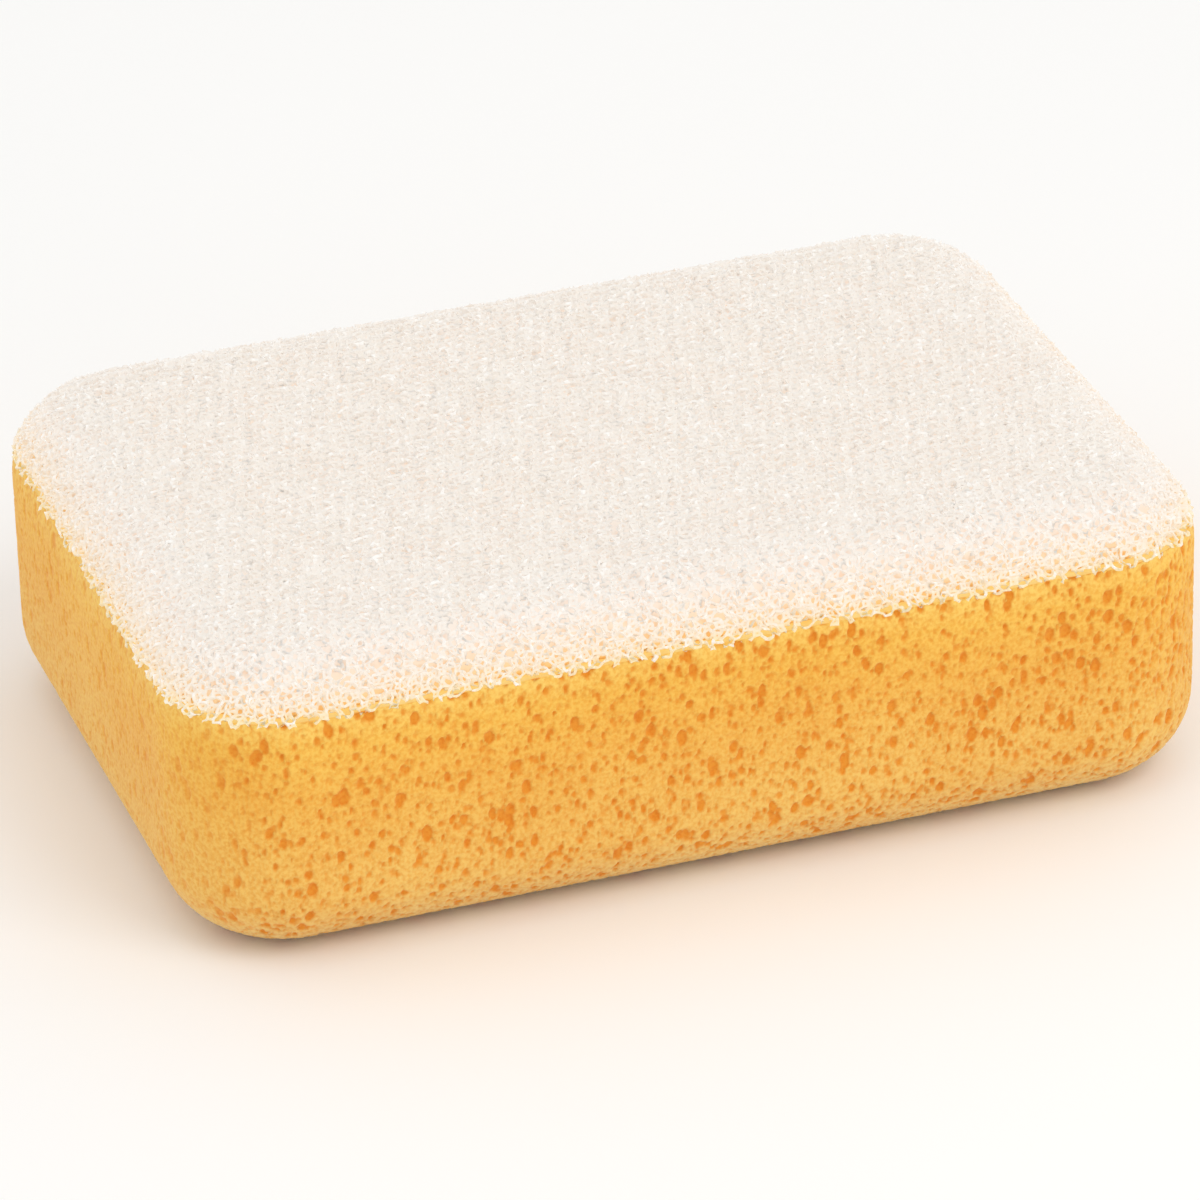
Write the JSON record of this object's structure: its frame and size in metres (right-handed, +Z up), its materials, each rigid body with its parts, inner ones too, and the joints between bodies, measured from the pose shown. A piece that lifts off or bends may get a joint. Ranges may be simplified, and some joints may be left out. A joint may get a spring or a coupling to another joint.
{
  "type": "grout sponge",
  "caption": "Rounded two-layer cleaning sponge: an open-cell foam block for wiping grout, with a coarse reticulated scrub pad bonded on top.",
  "frame": {"origin": "centre of the underside, which is the wiping face", "axes": "+X along the length, +Y across the width, +Z up through the layers to the scrubbing face"},
  "size_m": [0.184, 0.127, 0.057],
  "materials": {
    "sponge_foam": "soft orange-yellow open-cell polyurethane foam with many soft-edged pores, mostly 0.7 to 1.5 mm across and taller than they are wide",
    "bond_adhesive": "thin film of waterproof adhesive that has soaked into the orange foam",
    "pad_foam": "creamy white reticulated foam, a stiff lattice of thin struts with cells about 2 mm across"
  },
  "bodies": {
    "root": {"sponge_body": "sponge_foam", "bond_layer": "bond_adhesive", "scrub_pad": "pad_foam"}
  },
  "joints": []
}
